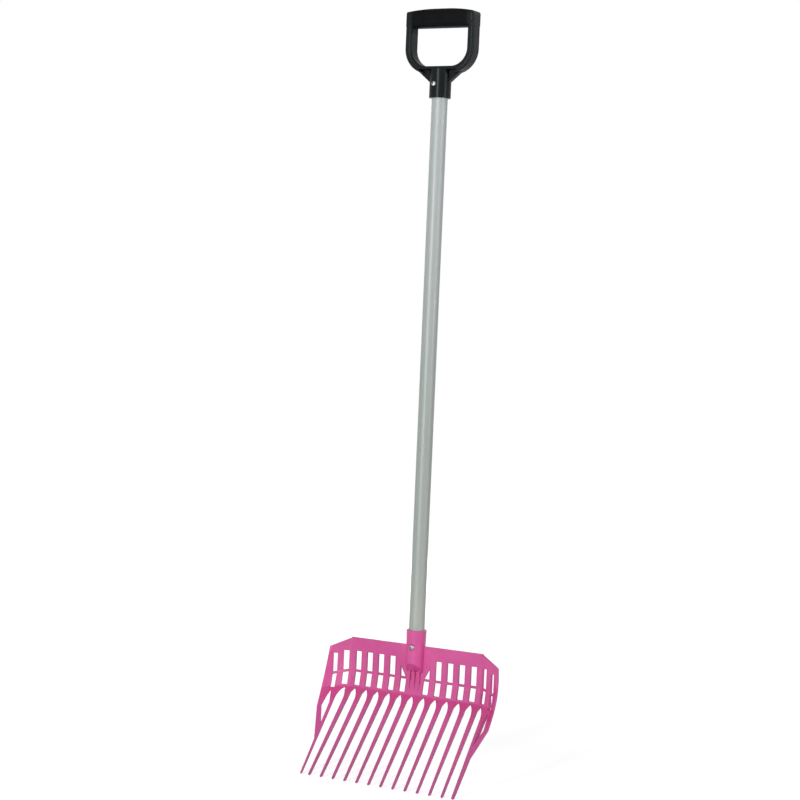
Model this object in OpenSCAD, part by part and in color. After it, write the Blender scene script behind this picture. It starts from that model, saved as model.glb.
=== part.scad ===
// Manure fork: a moulded comb scoop on an aluminium tube with a D grip.
// The tube runs along Z, the width is X and the open side of the scoop faces -Y.
// The origin is the hook point, in the middle of the underside of the grip's bar.

/* [Handle tube] */
// Outer diameter of the tube
tube_od = 28; // [24:0.5:34]
// Wall of the tube
tube_wall = 1.5; // [1:0.1:3]
// Length of tube seen between the two sockets
tube_show_l = 935; // [500:1:1300]
// Length of tube inside the head's socket
head_insert = 56; // [45:1:60]
// Length of tube inside the grip's socket
grip_insert = 47; // [38:1:50]
// Play between the tube and a socket's bore, on the diameter
socket_fit = 0.2; // [0:0.05:0.5]

/* [D grip] */
// Width over the two arms at the bar
grip_w = 133; // [110:1:160]
// Thickness of an arm, seen from the front
grip_arm_w = 12.5; // [10:0.5:18]
// Depth of an arm, front to back
grip_arm_d = 28; // [20:0.5:30]
// Edge radius of an arm
grip_arm_r = 4.5; // [1:0.5:5]
// Height of the hand opening
grip_open_h = 67; // [55:1:80]
// Radius of the opening's two lower corners
grip_open_r = 31; // [15:1:40]
// Height of the bar at its middle
grip_bar_h = 33; // [26:1:40]
// Depth of the bar, front to back
grip_bar_d = 31; // [26:0.5:36]
// Edge radius of the bar's section
grip_bar_r = 11; // [6:0.5:13]
// Rise of the bar's top from its ends to its middle
grip_arch = 6.5; // [2:0.5:10]
// Radius of the bar's two upper corners
grip_corner_r = 15; // [4:0.5:18]
// Radius of the bar's two lower corners
grip_under_r = 1; // [0.5:0.5:3]
// Radius of the bar's upright end edges
grip_end_r = 5; // [1:0.5:8]
// Outer diameter of the grip's socket
grip_socket_d = 38; // [36:0.5:44]
// Length of the grip's socket below the hand opening
grip_socket_l = 55; // [50:1:70]
// Thickness of the two webs beside the socket
grip_web_t = 8; // [4:0.5:12]
// Thickness of the raised edge along a web
grip_web_rim = 3.5; // [2:0.5:6]
// Depth of that raised edge, front to back
grip_web_rim_d = 10; // [9:0.5:20]
// Height of the ring's foot between the hand opening and the webs
grip_foot_h = 5.5; // [5:0.5:8]
// Height of the web's lower end above the socket's rim
grip_web_start = 27; // [20:1:35]
// Height of the web's upper end above the socket's rim
grip_web_end = 57; // [52:1:60]
// Half width of the webs where they run into the ring
grip_web_reach = 54; // [50:1:55]

/* [Head socket] */
// Outer diameter at the rim
head_socket_d = 36; // [34:0.5:42]
// Outer diameter at the lower end
head_socket_low_d = 31.5; // [30:0.5:36]
// Length of the socket
head_socket_l = 75; // [71:1:82]
// Length of the head socket at its front, above the slanting cut
head_socket_front = 57; // [57:1:65]
// Thickness of the ribs below the socket
socket_rib_t = 3; // [2:0.5:5]
// Spacing of the two small ribs beside the middle one
side_rib_gap = 19; // [14:0.5:22]
// Height of the two small ribs above the plate
side_rib_h = 3; // [2:0.5:5]
// Height of the middle rib over the plate at the foot of the socket
socket_rib_h = 4; // [3:0.5:7]

/* [Fork head] */
// Number of tines, two of them on the wings
tine_count = 14; // [8:2:18]
// Spacing of the tines at the plate
tine_pitch = 23; // [18:0.5:28]
// Growth of that spacing from the plate to the tips
tine_fan = 0.6; // [0:0.1:1.5]
// Width of a slot in the plate
slot_w = 11.8; // [9:0.2:14]
// Thickness of the plate and the wings
plate_t = 4.5; // [3:0.5:6]
// Distance of the plate's middle behind the tube's axis
plate_back = 2.5; // [0:0.5:6]
// Drop from the socket's rim to the plate's top edge
plate_top_drop = 28; // [20:1:42]
// Drop from the socket's rim to the tops of the upper slots
slot_drop = 52; // [47:1:62]
// Drop from the socket's rim to the tops of the two cut-down slots beside the socket
cut_slot_drop = 66; // [59:1:77]
// Drop from the socket's rim to the bar between the slot rows
mid_bar_drop = 88; // [83:1:92]
// Drop from the socket's rim to the bar under the lower slots
low_bar_drop = 115.5; // [109:0.5:122]
// Diameter of the middle bar and height of the lower one
bar_d = 4.8; // [3:0.2:6]
// Drop from the socket's rim to the tine tips
tip_drop = 254; // [217:1:297]
// Forward slope of the plate's lower part, in degrees
lower_slope = 11; // [5:1:20]
// Forward slope of the tines, in degrees
tine_slope = 43.5; // [30:0.5:50]
// Width of a tine where its root flare ends
tine_w = 7; // [5:0.2:9]
// Width of a tine at its tip
tip_w = 4; // [3:0.2:6]
// Depth of a tine with its keel at its root, measured level
tine_d = 11; // [8:0.5:14]
// Depth of a tine with its keel near its tip, measured level
tip_d = 5.8; // [4:0.2:9]
// Height of a tine's root flare
flare_h = 18; // [15:1:26]
// Step from a tine's side in to the keel behind it
keel_inset = 0.8; // [0.4:0.1:1.5]
// Drop from the socket's rim to where the ribs behind the plate begin
rib_drop = 57; // [49:1:72]

/* [Wings] */
// Width of a wing at its top corner, along the wing
wing_w = 40; // [36:1:46]
// Distance from the last plate tine to the fold
fold_margin = 1; // [0.5:0.5:1.5]
// Step from the back and the top of the plate to those of a folded wing
fold_sink = 0.6; // [0.5:0.1:0.8]
// Thickness of the wing's outer rim
rim_t = 4; // [3:0.25:4.25]
// Angle of a wing to the plate, in degrees
wing_fold = 21; // [10:1:40]
// Forward slope of the tine on a wing, in degrees
wing_slope = 41; // [28:0.5:48]
// Drop of the wing's top corner below the plate's top edge
wing_corner_drop = 18.5; // [5:0.5:20]
// Start of the inner slot column, along the wing
inner_slot = 4; // [2:0.5:6]
// Width of the inner slot column
inner_slot_w = 10; // [8:0.2:11]
// Start of the outer slot column, along the wing
outer_slot = 25; // [24:0.5:27]
// Width of the outer slot column
outer_slot_w = 7.5; // [5:0.5:8]
// How much lower the outer slots and the wing's bars sit
wing_droop = 6; // [0:0.5:8]
// Drop from the socket's rim to the strut's elbow
elbow_drop = 149; // [145:1:162]
// Place of the strut's elbow, along the wing
elbow_w = 42; // [38:0.5:46]
// Drop from the socket's rim to where the strut meets its tine
strut_drop = 200; // [187:1:212]
// Drop from the socket's rim to the lower end of the strut's loop
loop_drop = 175; // [167:1:182]
// Width of the strut at its elbow
strut_w = 8; // [5:0.5:9]
// How far the wing's outer rim bows back between its corner and the elbow
rim_bow = 8; // [0:0.5:10]

/* [Screws] */
// Diameter of the screw's shank
screw_d = 4.8; // [4:0.2:6]
// Length of the shank under the head
screw_l = 16; // [12:1:20]
// Diameter of the screw's head
screw_head_d = 9.5; // [8:0.1:12]
// Diameter of the flat on the screw's point
screw_point_d = 1; // [0.5:0.1:2]
// Height of the screw's head
screw_head_h = 3.4; // [2.5:0.1:5]
// Width of the cross recess in the head
recess_w = 1.3; // [0.8:0.1:2]
// Depth of the cross recess
recess_depth = 1.6; // [1:0.1:2]
// Drop from the head socket's rim to its screw
head_screw_drop = 29.5; // [24:0.5:42]
// Height of the grip's screw above its socket's rim
grip_screw_rise = 24; // [18:1:32]
// Turn of the grip's screw away from the front, in degrees
grip_screw_turn = 15; // [0:1:30]
// Diameter of the flat seat under a screw head
seat_d = 11.5; // [10:0.1:14]
// Depth of that seat at the front of the socket
seat_depth = 1.4; // [0.8:0.1:2]
// Play of the shank in the socket's hole, on the diameter
screw_fit = 0.2; // [0:0.05:0.5]

/* [Hidden] */
$fn = 64;
grip_rim_z = -grip_open_h - grip_socket_l;
head_rim_z = grip_rim_z - tube_show_l;
pink = [0.84, 0.27, 0.58];
black = [0.09, 0.09, 0.1];
// Room left over wherever a cut runs past a face
spare = 1;
// Size larger than the whole head, for cutting through it
through = 400;
// Rounding of a tine's end: height and half width as shares of its end radius
tip_shares = [[0, 0.35], [0.35, 0.75], [1, 1]];
main_tines = tine_count - 2;
main_half_shares = (main_tines - 1) / 2;
fold_x = tine_pitch * main_half_shares + tine_w / 2 + fold_margin;
// Drops to the lower ends of the slots and of the root flares
slot_end_drop = low_bar_drop - bar_d / 2;
flare_drop = low_bar_drop + bar_d / 2 + flare_h;
bore_d = tube_od + socket_fit;
head_seat_y = -socket_r(head_screw_drop) + seat_depth;
grip_seat_y = -grip_socket_d / 2 + seat_depth;

// Outer radius of the head's socket at a drop below its rim
function socket_r(drop) =
    (head_socket_d + (head_socket_low_d - head_socket_d) * drop / head_socket_l) / 2;

// How far the plate and its tines have come forward at a drop below the rim
function lean(drop, slope) =
    max(0, min(drop, low_bar_drop) - mid_bar_drop) * tan(lower_slope)
    + max(0, drop - low_bar_drop) * tan(slope);

// Middle of tine or gap number k at a drop, fanning out below the low bar
function spread(k, drop) =
    k * (tine_pitch + tine_fan * max(0, drop - low_bar_drop) / (tip_drop - low_bar_drop));

// Shapes drawn from the front as [x, z] or from the side as [y, z], given depth or width
module facing(depth) {
    rotate([90, 0, 0])
        linear_extrude(depth, center = true)
            children();
}

module sideways(width) {
    rotate([90, 0, 90])
        linear_extrude(width, center = true)
            children();
}

// Rod along X
module rod(d, l) {
    rotate([0, 90, 0])
        cylinder(d = d, h = l, center = true);
}

// Half width of a tine at a drop, tapering from the end of its root flare to its tip
function tine_half(drop) =
    (tine_w + (tip_w - tine_w) * max(0, drop - flare_drop) / (tip_drop - flare_drop)) / 2;

// Side view of the moulded skin, from the top edge to the tine tips
module skin_side(slope, squeeze) {
    nose = tip_w / 2;
    tip_y = -lean(tip_drop, slope) * squeeze;
    low_y = -lean(low_bar_drop, slope) * squeeze;
    half = plate_t / 2;
    polygon([
        [-half, spare - plate_top_drop],
        [-half, -mid_bar_drop],
        [low_y - half, -low_bar_drop],
        [-lean(tip_drop - nose, slope) * squeeze - half, nose - tip_drop],
        [tip_y - half + nose, -tip_drop],
        [tip_y + half, -tip_drop],
        [low_y + half, -low_bar_drop],
        [half, -mid_bar_drop],
        [half, spare - plate_top_drop],
    ]);
}

// Side view of the keel that stiffens a tine and runs up behind the plate as a rib
module keel_side(slope, squeeze) {
    end_drop = tip_drop - tip_w;
    end_y = -lean(end_drop, slope) * squeeze;
    low_y = -lean(low_bar_drop, slope) * squeeze;
    polygon([
        [0, -rib_drop],
        [0, -mid_bar_drop],
        [low_y, -low_bar_drop],
        [end_y, -end_drop],
        [end_y + tip_d - plate_t / 2, -end_drop],
        [low_y + tine_d - plate_t / 2, -low_bar_drop],
        [plate_t / 4, -rib_drop],
    ]);
}

// Front view of the keel of plate tine number k
module keel_front(k) {
    root = tine_half(flare_drop) - keel_inset;
    end = tine_half(tip_drop) - keel_inset;
    polygon([
        [spread(k, rib_drop) - root, spare - rib_drop],
        [spread(k, rib_drop) + root, spare - rib_drop],
        [spread(k, flare_drop) + root, -flare_drop],
        [spread(k, tip_drop) + end, -tip_drop],
        [spread(k, tip_drop) - end, -tip_drop],
        [spread(k, flare_drop) - root, -flare_drop],
    ]);
}

// Half width of a pointed arch at a height above its spring
function arch_half(half, height) =
    let (arch_r = (flare_h * flare_h + half * half) / (2 * half))
        half - arch_r + sqrt(arch_r * arch_r - height * height);

// One side of the gap between two tines as [x, drop], from past the tip up to the arch's point
function gap_side(root_mid, root_half, tip_mid, tip_half, side) = concat(
    [[tip_mid + side * (tip_half + tip_w / 2), tip_drop + spare]],
    [for (share = tip_shares) [
        tip_mid + side * (tip_half + (1 - share[1]) * tip_w / 2),
        tip_drop - share[0] * tip_w / 2
    ]],
    [for (i = [0:8]) [
        root_mid + side * arch_half(root_half, flare_h * i / 8),
        flare_drop - flare_h * i / 8
    ]]
);

// The whole gap: up the side of one tine, over the pointed arch and down the next tine
function gap_outline(root_mid, root_half, tip_mid, tip_half) =
    let (
        left = gap_side(root_mid, root_half, tip_mid, tip_half, -1),
        right = gap_side(root_mid, root_half, tip_mid, tip_half, 1)
    )
        concat(left, [for (i = [len(right) - 2:-1:0]) right[i]]);

// Front view of gap number k of the plate
module gap_front(k) {
    outline = gap_outline(
        spread(k, flare_drop),
        spread(1, flare_drop) / 2 - tine_half(flare_drop),
        spread(k, tip_drop),
        spread(1, tip_drop) / 2 - tine_half(tip_drop)
    );
    polygon([for (p = outline) [p[0], -p[1]]]);
}

// Front view of one column of slots; the one beside the socket is cut to a triangle at its top
module slot_front(k) {
    x = tine_pitch * k;
    outer = x + sign(k) * slot_w / 2;
    if (abs(k) == 1)
        polygon([
            [outer, -cut_slot_drop],
            [outer, -mid_bar_drop],
            [outer - sign(k) * slot_w, -mid_bar_drop],
        ]);
    else
        translate([x - slot_w / 2, -mid_bar_drop])
            square([slot_w, mid_bar_drop - slot_drop]);
    translate([x - slot_w / 2, -slot_end_drop])
        square([slot_w, slot_end_drop - mid_bar_drop]);
}

// The flat middle of the head: plate, slots, middle bar and the tines that start from it
module plate_and_tines() {
    last_gap = main_tines / 2 - 1;
    half_w = fold_x - fold_margin / 2;
    wide = fold_x + tine_pitch / 2;
    intersection() {
        facing(through)
            difference() {
                polygon([
                    [-half_w, -plate_top_drop],
                    [half_w, -plate_top_drop],
                    [half_w, -low_bar_drop],
                    [wide, -flare_drop],
                    [wide, -tip_drop],
                    [-wide, -tip_drop],
                    [-wide, -flare_drop],
                    [-half_w, -low_bar_drop],
                ]);
                for (k = [-last_gap - 1:last_gap + 1])
                    gap_front(k);
                for (k = [1:last_gap], side = [-1, 1])
                    slot_front(side * k);
            }
        sideways(through)
            skin_side(tine_slope, 1);
    }
    intersection() {
        facing(through)
            for (k = [-main_half_shares:main_half_shares])
                keel_front(k);
        sideways(through)
            keel_side(tine_slope, 1);
    }
    translate([0, 0, -mid_bar_drop])
        rod(bar_d, 2 * (half_w - fold_margin));
}

// Sideways sway that keeps a wing's lower shapes in line once the wing is folded
function sway(drop) = lean(drop, wing_slope) * sin(wing_fold);

// Point on the wing's middle surface, before folding, from [along the wing, drop]
function on_wing(p) = [p[0] + sway(p[1]), -lean(p[1], wing_slope) * cos(wing_fold), -p[1]];

// Front view of a shape on the wing, from points given as [along the wing, drop]
module wing_shape(points) {
    polygon([for (p = points) [on_wing(p)[0], -p[1]]]);
}

// One column of wing slots, the upper and the lower one, set down by a droop
module wing_slots(start, w, droop) {
    for (ends = [[slot_drop, mid_bar_drop], [mid_bar_drop, slot_end_drop]])
        wing_shape([
            [start, ends[0] + droop],
            [start + w, ends[0] + droop],
            [start + w, ends[1] + droop],
            [start, ends[1] + droop],
        ]);
}

// Solid between two edges that run down together, with its thickness along Y
module ruled_strip(inner, outer, t) {
    last = len(inner) - 1;
    half = [0, t / 2, 0];
    rings = [for (i = [0:last])
        [inner[i] - half, outer[i] - half, outer[i] + half, inner[i] + half]];
    sides = [for (i = [0:last - 1], j = [0:3], side = [0, 1])
        let (a = 4 * i + j, b = 4 * i + (j + 1) % 4)
            side == 0 ? [a, b, b + 4] : [a, b + 4, a + 4]];
    low = 4 * last;
    ends = [[3, 2, 1], [3, 1, 0], [low, low + 1, low + 2], [low, low + 2, low + 3]];
    polyhedron([for (ring = rings, p = ring) p], concat(sides, ends));
}

// The wing's outer rim, from its top corner to the strut's elbow, bowed back in between
module wing_rim() {
    inset = outer_slot + outer_slot_w;
    corner_drop = plate_top_drop + wing_corner_drop;
    top_drop = plate_top_drop + wing_corner_drop * inset / wing_w;
    droop_drop = low_bar_drop + wing_droop;
    corner = on_wing([wing_w, corner_drop]);
    elbow = on_wing([elbow_w, elbow_drop]);
    steps = [corner_drop, (corner_drop + mid_bar_drop) / 2, mid_bar_drop,
        (mid_bar_drop + low_bar_drop) / 2, low_bar_drop, droop_drop,
        (droop_drop + elbow_drop) / 2, elbow_drop];
    inner = [for (drop = steps)
        let (turn_share = max(0, drop - droop_drop) / (elbow_drop - droop_drop))
            on_wing([
                inset + (elbow_w - strut_w + spare - inset) * turn_share,
                drop == corner_drop ? top_drop : drop
            ])];
    outer = [for (drop = steps)
        let (part_share = (drop - corner_drop) / (elbow_drop - corner_drop))
            corner + (elbow - corner) * part_share + [0, rim_bow * sin(180 * part_share), 0]];
    ruled_strip(inner, outer, rim_t);
}

// One side wing with its slots, its tine and the strut that braces the tine
module wing() {
    tine_mid = (inner_slot + inner_slot_w + outer_slot) / 2;
    root = tine_half(flare_drop);
    tip = tine_half(tip_drop);
    rim = outer_slot + outer_slot_w + bar_d / 2;
    rim_top = plate_top_drop + wing_corner_drop * rim / wing_w;
    gap_left = -2 * fold_margin;
    intersection() {
        facing(through)
            difference() {
                wing_shape(concat(
                    [
                        [-fold_margin, plate_top_drop],
                        [rim, rim_top],
                        [rim, mid_bar_drop],
                        [rim, low_bar_drop],
                        [elbow_w - strut_w / 2, elbow_drop],
                        [elbow_w, elbow_drop],
                        [tine_mid + tine_half(strut_drop), strut_drop],
                    ],
                    [for (i = [2:-1:0])
                        [tine_mid + tip_shares[i][1] * tip, tip_drop - tip_shares[i][0] * tip]],
                    [
                        [-fold_margin, tip_drop],
                        [-fold_margin, low_bar_drop],
                        [-fold_margin, mid_bar_drop],
                    ]
                ));
                wing_slots(inner_slot, inner_slot_w, 0);
                wing_slots(outer_slot, outer_slot_w, wing_droop);
                wing_shape(gap_outline(
                    (gap_left + tine_mid - root) / 2,
                    (tine_mid - root - gap_left) / 2,
                    (gap_left + tine_mid - tip) / 2,
                    (tine_mid - tip - gap_left) / 2
                ));
                wing_shape([
                    [outer_slot + outer_slot_w / 2, low_bar_drop + wing_droop + bar_d / 2],
                    [elbow_w - strut_w - bar_d / 2, (low_bar_drop + elbow_drop) / 2],
                    [elbow_w - strut_w, elbow_drop],
                    [tine_mid + tine_half(loop_drop), loop_drop],
                    [tine_mid + root, flare_drop + wing_droop],
                ]);
            }
        sideways(through)
            skin_side(wing_slope, cos(wing_fold));
    }
    intersection() {
        facing(through)
            wing_shape([
                [tine_mid - root + keel_inset, rib_drop - spare],
                [tine_mid + root - keel_inset, rib_drop - spare],
                [tine_mid + root - keel_inset, mid_bar_drop],
                [tine_mid + root - keel_inset, low_bar_drop],
                [tine_mid + root - keel_inset, flare_drop],
                [tine_mid + tip - keel_inset, tip_drop],
                [tine_mid - tip + keel_inset, tip_drop],
                [tine_mid - root + keel_inset, flare_drop],
                [tine_mid - root + keel_inset, low_bar_drop],
                [tine_mid - root + keel_inset, mid_bar_drop],
            ]);
        sideways(through)
            keel_side(wing_slope, cos(wing_fold));
    }
    translate(on_wing([rim / 2, mid_bar_drop + wing_droop / 2]))
        rotate([0, atan(wing_droop / outer_slot), 0])
            rod(bar_d, rim);
    wing_rim();
}

// Tapered socket, cut at a slant below its front
module head_socket() {
    difference() {
        translate([0, 0, -head_socket_l])
            cylinder(d1 = head_socket_low_d, d2 = head_socket_d, h = head_socket_l);
        sideways(2 * head_socket_d)
            polygon([
                [-head_socket_d / 2, -head_socket_front],
                [0, -head_socket_l],
                [0, -head_socket_l - spare],
                [-head_socket_d / 2, -head_socket_l - spare],
            ]);
    }
}

// Ribs below the socket: one deep rib in the middle and a small one on each side, all rooted in the plate
module socket_ribs() {
    foot_y = plate_back - lean(low_bar_drop, tine_slope);
    sideways(socket_rib_t)
        polygon([
            [-socket_r(head_socket_front) + 2 * spare, -head_socket_front],
            [plate_back - plate_t / 2 - socket_rib_h, -head_socket_l],
            [foot_y - plate_t / 4, -low_bar_drop],
            [foot_y + plate_t / 4, -low_bar_drop],
            [socket_r(head_socket_l) - spare, spare - head_socket_l],
        ]);
    for (side = [-1, 1])
        translate([side * side_rib_gap / 2, 0, 0])
            sideways(socket_rib_t)
                polygon([
                    [plate_back - plate_t / 2 - side_rib_h, -head_socket_front - side_rib_h],
                    [foot_y - plate_t / 4, -low_bar_drop],
                    [plate_back, -mid_bar_drop],
                    [plate_back, -head_socket_front - side_rib_h],
                ]);
}

// The whole moulded head, with the bore for the tube and the hole for its screw
module fork_head() {
    color(pink)
        translate([0, 0, head_rim_z])
            difference() {
                union() {
                    translate([0, plate_back, 0]) {
                        plate_and_tines();
                        for (side = [0, 1])
                            mirror([side, 0, 0])
                                translate([fold_x, plate_t / 2 - fold_sink, -fold_sink])
                                    rotate([0, 0, -wing_fold])
                                        translate([0, -plate_t / 2, 0])
                                            wing();
                    }
                    head_socket();
                    socket_ribs();
                }
                translate([0, 0, -head_insert])
                    cylinder(d = bore_d, h = head_insert + spare);
                translate([0, 0, -head_screw_drop])
                    screw_cut(head_seat_y);
            }
}

// Hole and flat seat for a screw that enters from the front
module screw_cut(seat_y) {
    rotate([90, 0, 0])
        cylinder(d = screw_d + screw_fit, h = -seat_y + seat_depth);
    translate([0, seat_y, 0])
        rotate([90, 0, 0])
            cylinder(d = seat_d, h = seat_depth + screw_head_h);
}

// The drawn tube, with one hole for each screw in its front wall
module handle_tube() {
    tube_l = grip_insert + tube_show_l + head_insert;
    color([0.72, 0.75, 0.74])
        difference() {
            translate([0, 0, head_rim_z - head_insert])
                cylinder(d = tube_od, h = tube_l);
            translate([0, 0, head_rim_z - head_insert - spare])
                cylinder(d = tube_od - 2 * tube_wall, h = tube_l + 2 * spare);
            translate([0, 0, head_rim_z - head_screw_drop])
                rotate([90, 0, 0])
                    cylinder(d = screw_d, h = tube_od);
            translate([0, 0, grip_rim_z + grip_screw_rise])
                rotate([90, 0, -grip_screw_turn])
                    cylinder(d = screw_d, h = tube_od);
        }
}

// Rectangle with two lower and two upper corner radii, standing on y = 0
module soft_square(w, h, low_r, top_r) {
    for (side = [-1, 1]) {
        translate([side * (w / 2 - low_r), low_r])
            circle(r = low_r);
        translate([side * (w / 2 - top_r), h - top_r])
            circle(r = top_r);
    }
    translate([-w / 2 + low_r, 0])
        square([w - 2 * low_r, h - top_r]);
    translate([-w / 2, low_r])
        square([w, h - low_r - top_r]);
    translate([-w / 2 + top_r, low_r])
        square([w - 2 * top_r, h - low_r]);
}

// Bar: its section, its front outline with the arched top and its plan, all crossed
module grip_bar() {
    arch_r = (grip_w * grip_w / 4 + grip_arch * grip_arch) / (2 * grip_arch);
    intersection() {
        sideways(through)
            soft_square(grip_bar_d, grip_bar_h, grip_bar_r, grip_bar_r);
        facing(through)
            intersection() {
                soft_square(grip_w, grip_bar_h, grip_under_r, grip_corner_r);
                translate([0, grip_bar_h - arch_r])
                    circle(r = arch_r, $fn = 360);
            }
        translate([0, -grip_bar_d / 2, 0])
            linear_extrude(through, center = true)
                soft_square(grip_w, grip_bar_d, grip_end_r, grip_end_r);
    }
}

// Section of an arm, its middle at the origin
module arm_section(w, d) {
    translate([0, -d / 2])
        soft_square(w, d, grip_arm_r, grip_arm_r);
}

// The two arms and the curved floor that joins them, one section all round
module grip_ring() {
    half_open = grip_w / 2 - grip_arm_w;
    bend_x = half_open - grip_open_r;
    bend_z = grip_open_r - grip_open_h;
    for (side = [0, 1])
        mirror([side, 0, 0]) {
            translate([half_open + grip_arm_w / 2, 0, bend_z])
                linear_extrude(grip_bar_h / 2 - bend_z)
                    arm_section(grip_arm_w, grip_arm_d);
            translate([bend_x, 0, bend_z])
                rotate([90, -270, 0])
                    rotate_extrude(angle = 90)
                        translate([grip_open_r + grip_arm_w / 2, 0])
                            arm_section(grip_arm_w, grip_arm_d);
        }
    translate([0, 0, -grip_open_h - grip_arm_w / 2])
        sideways(2 * bend_x)
            arm_section(grip_arm_d, grip_arm_w);
}

// One web beside the socket, with the raised edge along its slope, ending inside the ring
module grip_web() {
    inner = grip_socket_d / 2 - spare;
    outer = grip_web_reach;
    low_z = grip_rim_z + grip_web_start;
    high_z = grip_rim_z + grip_web_end;
    ring_half = grip_arm_w / 2;
    difference() {
        union() {
            facing(grip_web_t)
                polygon([[0, low_z], [inner, low_z], [outer, high_z], [0, high_z]]);
            facing(grip_web_rim_d)
                polygon([
                    [inner, low_z],
                    [outer, high_z],
                    [outer - 2 * grip_web_rim, high_z],
                    [inner, low_z + 2 * grip_web_rim],
                ]);
        }
        translate([0, 0, -grip_open_h - ring_half])
            facing(through)
                soft_square(grip_w - grip_arm_w, grip_open_h + grip_bar_h, grip_open_r + ring_half, spare);
    }
}

// The hollow inside one web's raised edge, below the ring's foot, on both faces
module web_hollow() {
    inner = grip_socket_d / 2 - spare;
    low_z = grip_rim_z + grip_web_start + 2 * grip_web_rim;
    high_z = grip_rim_z + grip_web_end;
    top_z = -grip_open_h - grip_foot_h;
    rise_share = (top_z - low_z) / (high_z - low_z);
    corner = inner + (grip_web_reach - 2 * grip_web_rim - inner) * rise_share;
    for (side = [-1, 1])
        translate([0, side * (grip_web_t - spare + grip_arm_d) / 2, 0])
            facing(grip_arm_d)
                polygon([[-spare, low_z], [inner, low_z], [corner, top_z], [-spare, top_z]]);
}

// The whole moulded D grip
module d_grip() {
    color(black)
        difference() {
            union() {
                difference() {
                    grip_ring();
                    for (side = [0, 1])
                        mirror([side, 0, 0])
                            web_hollow();
                }
                grip_bar();
                translate([0, 0, grip_rim_z])
                    cylinder(d = grip_socket_d, h = grip_socket_l - grip_arm_r);
                for (side = [0, 1])
                    mirror([side, 0, 0])
                        grip_web();
            }
            translate([0, 0, grip_rim_z - spare])
                cylinder(d = bore_d, h = grip_insert + spare);
            translate([0, 0, grip_rim_z + grip_screw_rise])
                rotate([0, 0, -grip_screw_turn])
                    screw_cut(grip_seat_y);
        }
}

// Pan-head self-tapping screw with a cross recess, its seat at y = 0 and its head at -Y
module pan_screw() {
    dome_r = (screw_head_d * screw_head_d / 4 + screw_head_h * screw_head_h) / (2 * screw_head_h);
    point_l = screw_d;
    rotate([90, 0, 0])
        difference() {
            union() {
                intersection() {
                    cylinder(d = screw_head_d, h = screw_head_h);
                    translate([0, 0, screw_head_h - dome_r])
                        sphere(r = dome_r);
                }
                translate([0, 0, point_l - screw_l])
                    cylinder(d = screw_d, h = screw_l - point_l);
                translate([0, 0, -screw_l])
                    cylinder(d1 = screw_point_d, d2 = screw_d, h = point_l);
            }
            for (turn = [0, 90])
                rotate([0, 0, turn])
                    translate([0, 0, screw_head_h])
                        cube([screw_head_d / 2, recess_w, 2 * recess_depth], center = true);
        }
}

module head_screw() {
    color("silver")
        translate([0, head_seat_y, head_rim_z - head_screw_drop])
            pan_screw();
}

module grip_screw() {
    color("silver")
        translate([0, 0, grip_rim_z + grip_screw_rise])
            rotate([0, 0, -grip_screw_turn])
                translate([0, grip_seat_y, 0])
                    pan_screw();
}

fork_head();
handle_tube();
d_grip();
head_screw();
grip_screw();
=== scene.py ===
import bpy
from mathutils import Matrix, Vector


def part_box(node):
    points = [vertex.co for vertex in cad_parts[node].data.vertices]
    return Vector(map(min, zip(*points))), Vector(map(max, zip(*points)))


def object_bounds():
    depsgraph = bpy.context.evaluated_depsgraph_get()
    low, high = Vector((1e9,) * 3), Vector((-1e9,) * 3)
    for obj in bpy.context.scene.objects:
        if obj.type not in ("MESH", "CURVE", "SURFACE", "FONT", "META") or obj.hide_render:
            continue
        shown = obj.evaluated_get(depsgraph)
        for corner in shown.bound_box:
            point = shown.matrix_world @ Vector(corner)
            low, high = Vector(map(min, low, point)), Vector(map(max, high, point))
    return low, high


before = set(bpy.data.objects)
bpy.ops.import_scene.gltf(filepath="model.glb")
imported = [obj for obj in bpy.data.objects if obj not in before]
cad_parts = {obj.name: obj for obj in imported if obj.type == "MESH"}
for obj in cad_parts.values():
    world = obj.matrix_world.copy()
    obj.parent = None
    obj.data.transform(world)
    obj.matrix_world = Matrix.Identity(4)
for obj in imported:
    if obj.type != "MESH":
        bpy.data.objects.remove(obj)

cadLow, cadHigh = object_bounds()
scene = bpy.context.scene
scene.view_settings.view_transform = "Standard"
print("frame loaded:", ", ".join(sorted(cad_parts)))


# camera: the photograph's viewpoint in metres, lens and sensor in millimetres
shot = {
    "place": (1.60787, -3.12395, -0.47801),
    "right": (0.8811, 0.4709, 0.0428),
    "ahead": (-0.4689, 0.8819, -0.0494),
    "lens": 90.0,
    "sensor": 36.0,
    "farthest": 200.0,  # well past the floor's edge
}


def makeCamera():
    data = bpy.data.cameras.new("shotCamera")
    data.lens = shot["lens"]
    data.sensor_width = shot["sensor"]
    data.clip_end = shot["farthest"]
    cam = bpy.data.objects.new("shotCamera", data)
    scene.collection.objects.link(cam)
    back = -Vector(shot["ahead"]).normalized()
    up = back.cross(Vector(shot["right"])).normalized()
    right = up.cross(back)
    turn = Matrix((right, up, back)).transposed().to_4x4()
    cam.matrix_world = Matrix.Translation(Vector(shot["place"])) @ turn
    scene.camera = cam
    return right, back


camRight, camBack = makeCamera()
print("camera set")


# helpers for building node trees
def isSocket(value):
    return isinstance(value, bpy.types.NodeSocket)


def addNode(tree, kind, inputs=None, **props):
    node = tree.nodes.new(kind)
    for key, value in props.items():
        setattr(node, key, value)
    for key, value in (inputs or {}).items():
        if isSocket(value):
            tree.links.new(value, node.inputs[key])
        else:
            node.inputs[key].default_value = value
    return node


def calc(tree, operation, a, b=0.0, clamp=False):
    node = addNode(tree, "ShaderNodeMath", {0: a, 1: b}, operation=operation, use_clamp=clamp)
    return node.outputs[0]


def times(tree, a, b):
    return calc(tree, "MULTIPLY", a, b)


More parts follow.
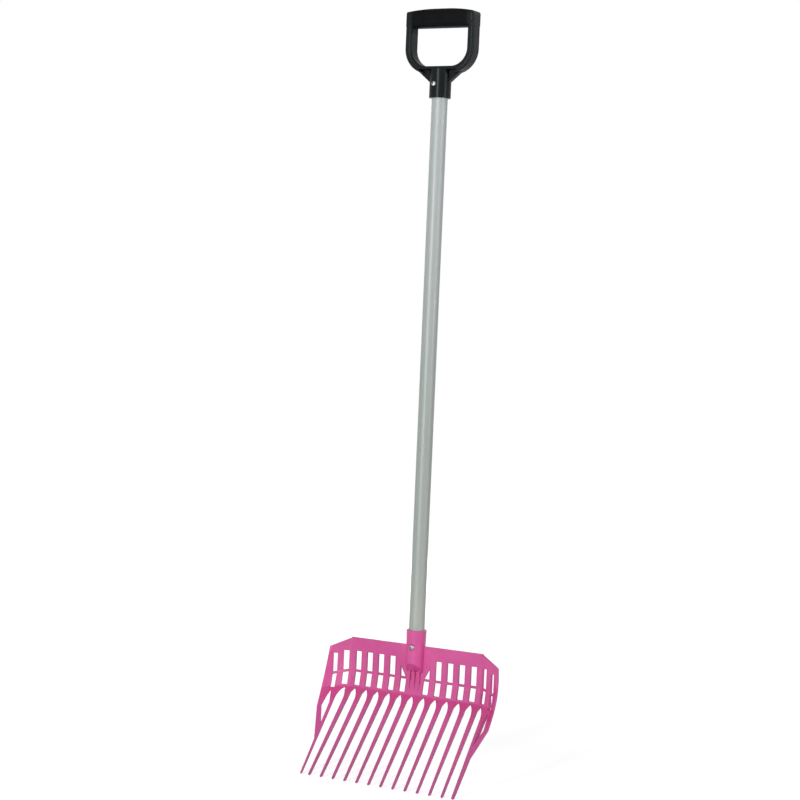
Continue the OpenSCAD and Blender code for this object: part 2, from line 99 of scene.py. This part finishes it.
def remap(tree, value, low, high, newLow=0.0, newHigh=1.0, smooth=False):
    node = addNode(tree, "ShaderNodeMapRange", {0: value, 1: low, 2: high, 3: newLow, 4: newHigh},
                   interpolation_type="SMOOTHSTEP" if smooth else "LINEAR")
    return node.outputs[0]


def mixColour(tree, share, a, b):
    a, b = (colour if isSocket(colour) else (*colour, 1.0) for colour in (a, b))
    node = addNode(tree, "ShaderNodeMix", {0: share, 6: a, 7: b}, data_type="RGBA")  # 6 and 7 take colours
    return node.outputs[2]


def noise(tree, spot, inputs):
    return addNode(tree, "ShaderNodeTexNoise", {"Vector": spot, **inputs}).outputs[0]


def newMaterial(name):
    mat = bpy.data.materials.new(name)
    mat.use_nodes = True
    tree = mat.node_tree
    tree.nodes.clear()
    spot = addNode(tree, "ShaderNodeTexCoord").outputs["Object"]
    return mat, tree, spot


def setSurface(tree, shader):
    addNode(tree, "ShaderNodeOutputMaterial", {"Surface": shader.outputs[0]})


def newGroup(name, inputs, outputs):
    group = bpy.data.node_groups.new(name, "ShaderNodeTree")
    for label, kind in inputs.items():
        group.interface.new_socket(label, in_out="INPUT", socket_type="NodeSocket" + kind)
    for label in outputs:
        group.interface.new_socket(label, in_out="OUTPUT", socket_type="NodeSocketFloat")
    given = addNode(group, "NodeGroupInput").outputs
    return group, given


def useGroup(tree, group, inputs):
    return addNode(tree, "ShaderNodeGroup", inputs, node_tree=group).outputs


# moulded skin: broad cloudy flow, fine spark-eroded grain
skinMake = {
    "flow": {"Detail": 3.0, "Roughness": 0.55, "Distortion": 0.6},
    "grain": {"Detail": 2.0, "Roughness": 0.6},
    "spread": (0.3, 0.7),  # noise between these runs from 0 to 1
    "grainPart": 0.75,  # of the height, the flow being the rest
}


def makeMouldSkin():
    group, given = newGroup("mouldSkin",
                            {"Vector": "Vector", "Flow Scale": "Float", "Grain Scale": "Float"},
                            ("Flow", "Grain", "Height"))
    flow = noise(group, given["Vector"], {"Scale": given["Flow Scale"], **skinMake["flow"]})
    flow = remap(group, flow, *skinMake["spread"])
    grain = noise(group, given["Vector"], {"Scale": given["Grain Scale"], **skinMake["grain"]})
    grain = remap(group, grain, *skinMake["spread"])
    height = calc(group, "ADD", times(group, grain, skinMake["grainPart"]),
                  times(group, flow, 1.0 - skinMake["grainPart"]))
    addNode(group, "NodeGroupOutput", {"Flow": flow, "Grain": grain, "Height": height})
    return group


# rubbed edge: how far the softened normal turns from the face's own, broken up by noise
rubMake = {
    "patch": {"Scale": 160.0, "Detail": 3.0},
    "patchSpread": (0.35, 0.65),
    "patchLeast": 0.35,  # share of the rub left between patches
}


def makeEdgeRub():
    group, given = newGroup("edgeRub",
                            {"Vector": "Vector", "Soft Normal": "Vector", "Reach": "Float"},
                            ("Mask",))
    face = addNode(group, "ShaderNodeNewGeometry").outputs["True Normal"]
    same = addNode(group, "ShaderNodeVectorMath", {0: given["Soft Normal"], 1: face},
                   operation="DOT_PRODUCT").outputs["Value"]
    turned = calc(group, "SUBTRACT", 1.0, same, clamp=True)
    edge = calc(group, "MULTIPLY", turned, given["Reach"], clamp=True)
    patch = noise(group, given["Vector"], rubMake["patch"])
    patch = remap(group, patch, *rubMake["patchSpread"], rubMake["patchLeast"], 1.0)
    addNode(group, "NodeGroupOutput", {"Mask": times(group, edge, patch)})
    return group


# fine scratches: thin threads where a twisted noise passes its middle value, in patches
scratchMake = {
    "thread": {"Detail": 1.0, "Distortion": 0.4},
    "middle": 0.5,
    "patch": {"Scale": 9.0, "Detail": 1.0},
    "patchSpread": (0.5, 0.62),
}


def makeFineScratch():
    group, given = newGroup("fineScratch",
                            {"Vector": "Vector", "Scale": "Float", "Thin": "Float"},
                            ("Mask",))
    thread = noise(group, given["Vector"], {"Scale": given["Scale"], **scratchMake["thread"]})
    away = calc(group, "ABSOLUTE", calc(group, "SUBTRACT", thread, scratchMake["middle"]))
    line = calc(group, "SUBTRACT", 1.0, calc(group, "DIVIDE", away, given["Thin"]), clamp=True)
    patch = noise(group, given["Vector"], scratchMake["patch"])
    patch = remap(group, patch, *scratchMake["patchSpread"])
    addNode(group, "NodeGroupOutput", {"Mask": times(group, line, patch)})
    return group


mouldSkin = makeMouldSkin()
edgeRub = makeEdgeRub()
fineScratch = makeFineScratch()
print("shared effects built")


def mouldedFace(tree, spot, look):
    # skin, softened edge normal and rub mask, the same way for both mouldings
    skin = useGroup(tree, mouldSkin, {"Vector": spot, **look["skin"]})
    soft = addNode(tree, "ShaderNodeBevel", {"Radius": look["edgeRound"]},
                   samples=look["edgeSamples"]).outputs[0]
    rub = useGroup(tree, edgeRub, {"Vector": spot, "Soft Normal": soft, "Reach": look["rubReach"]})
    return skin, soft, rub["Mask"]


def riseAbove(tree, spot, node):
    # metres above the lowest point of a CAD node
    height = addNode(tree, "ShaderNodeSeparateXYZ", {0: spot}).outputs["Z"]
    return calc(tree, "SUBTRACT", height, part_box(node)[0][2])


# fork head: satin pink moulded plastic, painted shade deepening it at the tine roots, duller to the tips,
# paler on rubbed edges
headLook = {
    "pink": (0.69, 0.09, 0.33),
    "deepPink": (0.60, 0.065, 0.285),
    "rootShadePink": (0.585, 0.030, 0.205),
    "rootShadeShare": 0.6,
    "rootShadeStart": (0.1046, 0.1236),  # heights above the tips, as in the next ones
    "rootShadeEnd": (0.1346, 0.1416),
    "tipPink": (0.46, 0.08, 0.25),
    "tipReach": (0.0, 0.1146),
    "rubbed": (0.80, 0.19, 0.46),
    "rubReach": 3.0,
    "rubShare": 0.25,
    "scratch": {"Scale": 38.0, "Thin": 0.01},
    "scratchShare": 0.5,
    "scratchReach": (0.0, 0.1216),
    "scratchLeast": 0.15,
    "skin": {"Flow Scale": 16.0, "Grain Scale": 1100.0},
    "rough": (0.36, 0.48),
    "relief": {"Strength": 0.35, "Distance": 0.00005},
    "edgeRound": 0.0011,
    "edgeSamples": 6,
    "finish": {"IOR": 1.49, "Specular IOR Level": 0.36, "Coat Weight": 0.3, "Coat Roughness": 0.13},
}


def makeHeadPink():
    mat, tree, spot = newMaterial("headPink")
    skin, soft, rub = mouldedFace(tree, spot, headLook)
    rise = riseAbove(tree, spot, "fork_head")
    base = mixColour(tree, skin["Flow"], headLook["deepPink"], headLook["pink"])
    # painted shade: a deeper pink is mixed in over a band at the tine roots
    rootShade = times(tree, remap(tree, rise, *headLook["rootShadeStart"], 0.0, headLook["rootShadeShare"], smooth=True),
                 remap(tree, rise, *headLook["rootShadeEnd"], 1.0, 0.0, smooth=True))  # painted shade: the pink deepens where the tines meet the plate
    base = mixColour(tree, rootShade, base, headLook["rootShadePink"])
    tip = remap(tree, rise, *headLook["tipReach"], 1.0, 0.0)  # tines dull towards their tips
    base = mixColour(tree, tip, base, headLook["tipPink"])
    base = mixColour(tree, times(tree, rub, headLook["rubShare"]), base, headLook["rubbed"])
    scratch = useGroup(tree, fineScratch, {"Vector": spot, **headLook["scratch"]})["Mask"]
    ground = remap(tree, rise, *headLook["scratchReach"], 1.0, headLook["scratchLeast"])  # tips scratch most
    scratched = times(tree, times(tree, scratch, ground), headLook["scratchShare"])
    base = mixColour(tree, scratched, base, headLook["rubbed"])
    rough = remap(tree, skin["Grain"], 0.0, 1.0, *headLook["rough"])
    bump = addNode(tree, "ShaderNodeBump", {"Height": skin["Height"], "Normal": soft, **headLook["relief"]})
    shader = addNode(tree, "ShaderNodeBsdfPrincipled",
                     {"Base Color": base, "Roughness": rough, "Normal": bump.outputs[0],
                      **headLook["finish"]})
    setSurface(tree, shader)
    return mat


# handle tube: drawn aluminium in satin grey, fine lines along it, painted light making it lighter towards
# the top, warmer grey near the lower end
tubeLook = {
    "topLitGrey": (0.475, 0.515, 0.512),
    "midGrey": (0.372, 0.412, 0.389),
    "topLightReach": (0.313, 1.033),  # heights above the tube's lower end, as in the next one
    "warmGrey": (0.435, 0.46, 0.408),
    "warmReach": (0.053, 0.213),
    "stretch": (1.0, 1.0, 0.006),  # draws the noise out along the tube
    "lines": {"Scale": 1500.0, "Detail": 3.0, "Roughness": 0.65},
    "lineSpread": (0.3, 0.7),
    "linePart": 0.6,  # of the streaks, the bands being the rest
    "bands": {"Scale": 260.0, "Detail": 2.0},
    "bandSpread": (0.35, 0.65),
    "lineGrey": (0.25, 0.272, 0.265),
    "lineShare": 0.3,
    "scratch": {"Scale": 24.0, "Thin": 0.008},
    "scratchRough": 0.12,
    "rough": (0.34, 0.46),
    "relief": {"Strength": 0.25, "Distance": 0.00004},
    "finish": {"Metallic": 0.1, "Specular IOR Level": 0.22},
}


def makeTubeGrey():
    mat, tree, spot = newMaterial("tubeGrey")
    along = addNode(tree, "ShaderNodeMapping", {"Vector": spot, "Scale": tubeLook["stretch"]}).outputs[0]
    line = remap(tree, noise(tree, along, tubeLook["lines"]), *tubeLook["lineSpread"])
    band = remap(tree, noise(tree, along, tubeLook["bands"]), *tubeLook["bandSpread"])
    streak = calc(tree, "ADD", times(tree, line, tubeLook["linePart"]),
                  times(tree, band, 1.0 - tubeLook["linePart"]))
    rise = riseAbove(tree, spot, "handle_tube")
    # painted light: the grey is painted lighter towards the top of the tube
    middle = remap(tree, rise, *tubeLook["topLightReach"], 1.0, 0.0, smooth=True)
    base = mixColour(tree, middle, tubeLook["topLitGrey"], tubeLook["midGrey"])
    warm = remap(tree, rise, *tubeLook["warmReach"], 1.0, 0.0, smooth=True)
    base = mixColour(tree, warm, base, tubeLook["warmGrey"])
    base = mixColour(tree, times(tree, streak, tubeLook["lineShare"]), base, tubeLook["lineGrey"])
    scratch = useGroup(tree, fineScratch, {"Vector": spot, **tubeLook["scratch"]})["Mask"]
    rough = calc(tree, "ADD", remap(tree, line, 0.0, 1.0, *tubeLook["rough"]),
                 times(tree, scratch, tubeLook["scratchRough"]))
    bump = addNode(tree, "ShaderNodeBump", {"Height": line, **tubeLook["relief"]})
    shader = addNode(tree, "ShaderNodeBsdfPrincipled",
                     {"Base Color": base, "Roughness": rough, "Normal": bump.outputs[0],
                      **tubeLook["finish"]})
    setSurface(tree, shader)
    return mat


# D grip: black moulded plastic, smooth on the arms and socket, matt on the bar between the arms, with
# painted sheen on the arms and painted shade on the socket
gripLook = {
    "black": (0.0035, 0.004, 0.0045),
    "greyed": (0.0065, 0.007, 0.0075),
    # painted sheen: a lighter black on the arms; painted shade: a darker black on the socket
    "armSheenBlack": (0.008, 0.0115, 0.0125),
    "socketShadeBlack": (0.0003, 0.0026, 0.0028),
    "armX": (0.051, 0.058),  # from the middle of the bar's underside, as in the next two
    "armZ": (-0.012, -0.002),
    "socketZ": (-0.078, -0.06),
    "rubbed": (0.03, 0.031, 0.033),
    "rubReach": 3.0,
    "rubShare": 0.35,
    "skin": {"Flow Scale": 22.0, "Grain Scale": 1300.0},
    "rough": (0.42, 0.55),
    "armPolish": 0.2,
    "socketPolish": 0.29,
    "polishLeast": 0.8,  # share of the polish left where the flow is thin
    "smoothGrain": 0.25,  # share of the grain left on the smooth parts
    "relief": {"Strength": 0.4, "Distance": 0.00006},
    "edgeRound": 0.0012,
    "edgeSamples": 6,
    "finish": {"IOR": 1.49, "Specular IOR Level": 0.045, "Coat Roughness": 0.26, "Coat IOR": 1.5},
}


def makeGripBlack():
    mat, tree, spot = newMaterial("gripBlack")
    skin, soft, rub = mouldedFace(tree, spot, gripLook)
    axes = addNode(tree, "ShaderNodeSeparateXYZ", {0: spot}).outputs
    beside = remap(tree, calc(tree, "ABSOLUTE", axes["X"]), *gripLook["armX"], smooth=True)
    below = remap(tree, axes["Z"], *gripLook["armZ"], 1.0, 0.0, smooth=True)
    smoothPart = calc(tree, "MAXIMUM", beside, below)  # all but the bar between the arms
    socket = remap(tree, axes["Z"], *gripLook["socketZ"], 1.0, 0.0, smooth=True)
    base = mixColour(tree, skin["Flow"], gripLook["black"], gripLook["greyed"])
    # painted sheen on the arms and painted shade on the socket, mixed in over the smooth parts
    sheenShadeBlack = mixColour(tree, socket, gripLook["armSheenBlack"], gripLook["socketShadeBlack"])
    base = mixColour(tree, smoothPart, base, sheenShadeBlack)
    base = mixColour(tree, times(tree, rub, gripLook["rubShare"]), base, gripLook["rubbed"])
    rough = remap(tree, skin["Grain"], 0.0, 1.0, *gripLook["rough"])
    polish = remap(tree, socket, 0.0, 1.0, gripLook["armPolish"], gripLook["socketPolish"])
    cloud = remap(tree, skin["Flow"], 0.0, 1.0, gripLook["polishLeast"], 1.0)
    polish = times(tree, times(tree, polish, smoothPart), cloud)
    grain = times(tree, skin["Height"], remap(tree, smoothPart, 0.0, 1.0, 1.0, gripLook["smoothGrain"]))
    bump = addNode(tree, "ShaderNodeBump", {"Height": grain, "Normal": soft, **gripLook["relief"]})
    shader = addNode(tree, "ShaderNodeBsdfPrincipled",
                     {"Base Color": base, "Roughness": rough, "Normal": bump.outputs[0],
                      "Coat Weight": polish, **gripLook["finish"]})
    setSurface(tree, shader)
    return mat


# screws: bright zinc plating with a fine speckle, dark painted shade in the recess
screwLook = {
    "plate": (0.62, 0.63, 0.65),
    "shade": (0.42, 0.43, 0.45),
    "cloud": {"Scale": 190.0, "Detail": 2.0},
    "cloudSpread": (0.35, 0.65),
    "speck": {"Scale": 700.0, "Detail": 3.0},
    "speckSpread": (0.3, 0.7),
    "recessShade": (0.03, 0.03, 0.035),
    "recessShadeReach": 0.0025,
    "recessShadeSamples": 8,
    "recessShadeSpread": (0.35, 0.8),  # full where shut in, none in the open
    "rough": (0.18, 0.34),
    "relief": {"Strength": 0.2, "Distance": 0.00003},
    "finish": {"Metallic": 1.0},
}


def makeScrewSteel():
    mat, tree, spot = newMaterial("screwSteel")
    cloud = remap(tree, noise(tree, spot, screwLook["cloud"]), *screwLook["cloudSpread"])
    speck = remap(tree, noise(tree, spot, screwLook["speck"]), *screwLook["speckSpread"])
    base = mixColour(tree, cloud, screwLook["shade"], screwLook["plate"])
    # painted shade: ambient occlusion paints the recess dark
    nook = addNode(tree, "ShaderNodeAmbientOcclusion", {"Distance": screwLook["recessShadeReach"]},
                   samples=screwLook["recessShadeSamples"]).outputs["AO"]
    recessShaded = remap(tree, nook, *screwLook["recessShadeSpread"], 1.0, 0.0)
    base = mixColour(tree, recessShaded, base, screwLook["recessShade"])
    rough = remap(tree, speck, 0.0, 1.0, *screwLook["rough"])
    bump = addNode(tree, "ShaderNodeBump", {"Height": speck, **screwLook["relief"]})
    shader = addNode(tree, "ShaderNodeBsdfPrincipled",
                     {"Base Color": base, "Roughness": rough, "Normal": bump.outputs[0],
                      **screwLook["finish"]})
    setSurface(tree, shader)
    return mat


def dressNode(node, mat):
    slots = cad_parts[node].data.materials
    slots.clear()
    slots.append(mat)


screwSteel = makeScrewSteel()
dressNode("fork_head", makeHeadPink())
dressNode("handle_tube", makeTubeGrey())
dressNode("d_grip", makeGripBlack())
dressNode("head_screw", screwSteel)
dressNode("grip_screw", screwSteel)
print("materials on all nodes")


def seenDirectly(tree):
    # 1 for what the camera, mirrors and glass see, 0 for all other light
    rays = addNode(tree, "ShaderNodeLightPath").outputs
    seen = calc(tree, "MAXIMUM", rays["Is Camera Ray"], rays["Is Glossy Ray"])
    return calc(tree, "MAXIMUM", seen, rays["Is Transmission Ray"])


# surround: white where it is seen, a softer light that dims overhead
surroundLook = {
    "white": (1.0, 1.0, 1.0, 1.0),
    "light": (0.70, 0.14),  # near the horizon, overhead
    "lightRise": (-0.05, 0.6),
}


def makeSurround():
    world = bpy.data.worlds.new("studioWorld")
    scene.world = world
    world.use_nodes = True
    tree = world.node_tree
    tree.nodes.clear()
    way = addNode(tree, "ShaderNodeTexCoord").outputs["Generated"]
    rise = addNode(tree, "ShaderNodeSeparateXYZ", {0: way}).outputs["Z"]
    light = remap(tree, rise, *surroundLook["lightRise"], *surroundLook["light"], smooth=True)
    strength = calc(tree, "MAXIMUM", light, seenDirectly(tree))
    glow = addNode(tree, "ShaderNodeBackground", {"Color": surroundLook["white"], "Strength": strength})
    addNode(tree, "ShaderNodeOutputWorld", {"Surface": glow.outputs[0]})


# floor: pale and matt, with a glow that only shows to the eye and grows away from the tool
floorLook = {
    "side": 120.0,
    "pale": (0.80, 0.80, 0.80, 1.0),
    "white": (1.0, 1.0, 1.0, 1.0),
    "glow": (0.63, 0.86),  # near the tool, far off
    "glowReach": (0.3, 4.0),
    "level": (1.0, 1.0, 0.0),  # leaves height out of the distance
}


def makeFloor():
    mat, tree, spot = newMaterial("studioFloor")
    matt = addNode(tree, "ShaderNodeBsdfDiffuse", {"Color": floorLook["pale"]})
    flat = addNode(tree, "ShaderNodeVectorMath", {0: spot, 1: floorLook["level"]},
                   operation="MULTIPLY").outputs[0]
    away = addNode(tree, "ShaderNodeVectorMath", {0: flat}, operation="LENGTH").outputs["Value"]
    glow = remap(tree, away, *floorLook["glowReach"], *floorLook["glow"], smooth=True)
    glow = times(tree, glow, seenDirectly(tree))
    shine = addNode(tree, "ShaderNodeEmission", {"Color": floorLook["white"], "Strength": glow})
    both = addNode(tree, "ShaderNodeAddShader", {0: matt.outputs[0], 1: shine.outputs[0]})
    setSurface(tree, both)
    half = floorLook["side"] / 2
    corners = [(-half, -half), (half, -half), (half, half), (-half, half)]
    mesh = bpy.data.meshes.new("studioFloor")
    mesh.from_pydata([(x, y, cadLow[2]) for x, y in corners], [], [(0, 1, 2, 3)])
    mesh.materials.append(mat)
    floor = bpy.data.objects.new("studioFloor", mesh)
    scene.collection.objects.link(floor)


# lamps: a soft strip on each side of the camera and a fill from behind the tool
lampLook = {
    "aim": (0.0, 0.0, -0.65),
    "lamps": {  # at: metres from the aim to the camera's right, upwards and towards the camera
        "leftStrip": {"at": (-1.34, 0.15, 2.23), "size": (0.35, 2.4), "watts": 48.0, "shines": True},
        "rightStrip": {"at": (2.15, 0.15, 1.45), "size": (0.35, 2.4), "watts": 22.0, "shines": True},
        "backFill": {"at": (0.0, 0.75, -3.0), "size": (1.2, 1.6), "watts": 30.0, "shines": False},
    },
}


def makeLamps():
    for name, lamp in lampLook["lamps"].items():
        data = bpy.data.lights.new(name, "AREA")
        data.shape = "RECTANGLE"
        data.size, data.size_y = lamp["size"]
        data.energy = lamp["watts"]
        obj = bpy.data.objects.new(name, data)
        scene.collection.objects.link(obj)
        aside, above, nearer = lamp["at"]
        offset = camRight * aside + Vector((0, 0, above)) + camBack * nearer
        obj.location = Vector(lampLook["aim"]) + offset
        obj.rotation_euler = offset.to_track_quat("Z", "Y").to_euler()
        obj.visible_camera = False
        obj.visible_glossy = lamp["shines"]


makeSurround()
makeFloor()
makeLamps()
print("studio lit")
